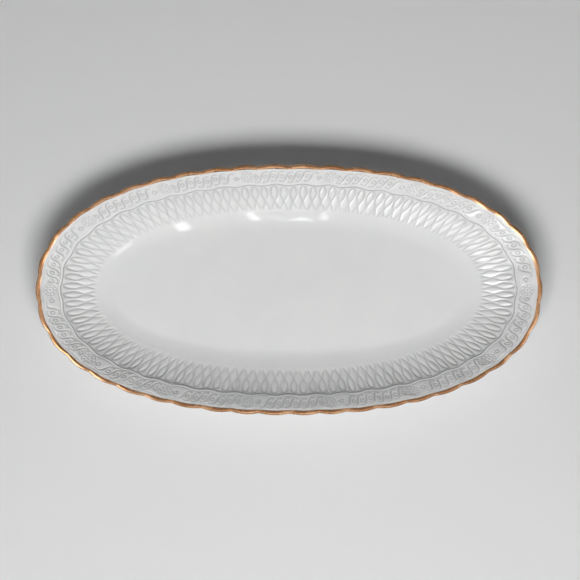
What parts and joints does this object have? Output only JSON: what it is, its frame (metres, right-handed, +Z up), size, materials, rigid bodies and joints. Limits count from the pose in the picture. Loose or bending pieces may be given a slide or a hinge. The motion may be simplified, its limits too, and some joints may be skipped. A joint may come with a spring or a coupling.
{
  "type": "serving platter",
  "caption": "Long oval china platter with a scalloped lustre edge, relief border, fluted sloping wall, flat well and a foot ring.",
  "frame": {"origin": "under the middle of the foot ring, on the surface that the platter stands on", "axes": "+X along the platter's length, +Y across it, +Z up out of the well"},
  "size_m": [0.355, 0.1758, 0.033],
  "materials": {
    "bisque": "matt unglazed",
    "face_glaze": "gloss",
    "back_glaze": "gloss",
    "lustre": "burnished copper gold"
  },
  "bodies": {
    "root": {"china_body": "bisque", "face_glaze": "face_glaze", "back_glaze": "back_glaze", "recess_glaze": "back_glaze", "rim_lustre": "lustre"}
  },
  "joints": []
}
